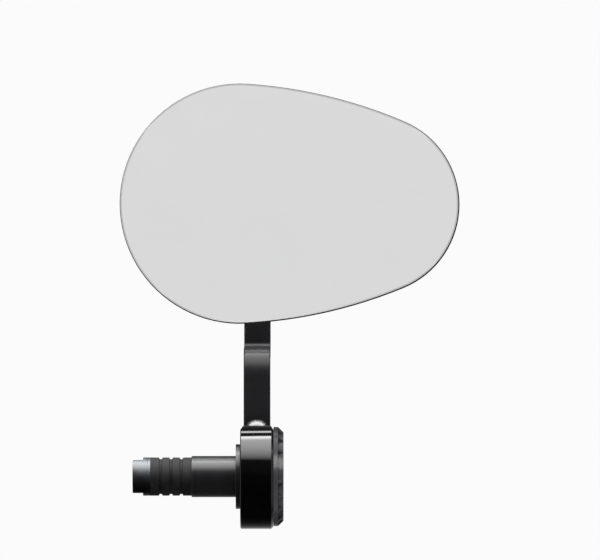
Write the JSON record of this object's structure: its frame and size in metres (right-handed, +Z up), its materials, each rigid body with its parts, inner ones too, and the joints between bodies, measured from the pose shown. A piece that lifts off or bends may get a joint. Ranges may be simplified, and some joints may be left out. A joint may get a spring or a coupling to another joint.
{
  "type": "bar-end motorcycle mirror",
  "caption": "Egg-shaped convex mirror on a ball joint, carried by a stepped arm on a clamp ring that turns on a hub in the handlebar end.",
  "frame": {"origin": "on the handlebar axis, in the middle of the clamp ring's width", "axes": "+X outwards along the handlebar, +Z up, and the mirror faces -Y"},
  "size_m": [0.116, 0.0579, 0.1516],
  "materials": {
    "hub_anodised": "turned, satin black anodised",
    "cap_anodised": "milled, semi-gloss black anodised",
    "ring_anodised": "polished, gloss black anodised",
    "arm_anodised": "milled, satin black anodised",
    "back_anodised": "milled, satin black anodised",
    "steel": "bright stainless",
    "polished_steel": "ground and polished",
    "zinc_steel": "zinc plated",
    "rubber": "moulded, matt",
    "nylon": "moulded natural nylon",
    "adhesive_foam": "die-cut acrylic foam",
    "mirror_glass": "chromed convex glass with a ground bevel"
  },
  "bodies": {
    "bar_end": {"hub": "hub_anodised", "end_cap": "cap_anodised", "mount_bolt": "steel", "expander_sleeve": "rubber", "sleeve_washer": "zinc_steel", "expander_nut": "zinc_steel"},
    "clamp_arm": {"clamp_ring": "ring_anodised", "pinch_screw": "steel", "arm": "arm_anodised", "arm_screw": "steel"},
    "stud": {"ball_stud": "polished_steel", "disc_spring": "zinc_steel", "stud_washer": "zinc_steel", "stud_nut": "steel"},
    "seat": {"front_seat": "nylon", "rear_seat": "nylon"},
    "head": {"mirror_back": "back_anodised", "retaining_ring": "back_anodised", "retainer_screws": "steel", "glass_pad": "adhesive_foam", "mirror_glass": "mirror_glass"}
  },
  "joints": [
    {"name": "bar_swivel", "type": "hinge", "parent": "bar_end", "child": "clamp_arm", "pos_m": [0, 0, 0], "axis": [1, 0, 0], "continuous": true},
    {"name": "head_roll", "type": "hinge", "parent": "clamp_arm", "child": "stud", "pos_m": [0, 0.0183, 0.0928], "axis": [0, 1, 0], "range_deg": [-30, 30]},
    {"name": "head_tilt", "type": "hinge", "parent": "stud", "child": "seat", "pos_m": [0, 0.0183, 0.0928], "axis": [1, 0, 0], "range_deg": [-15, 15]},
    {"name": "head_pan", "type": "hinge", "parent": "seat", "child": "head", "pos_m": [0, 0.0183, 0.0928], "axis": [0, 0, 1], "range_deg": [-15, 15]}
  ]
}
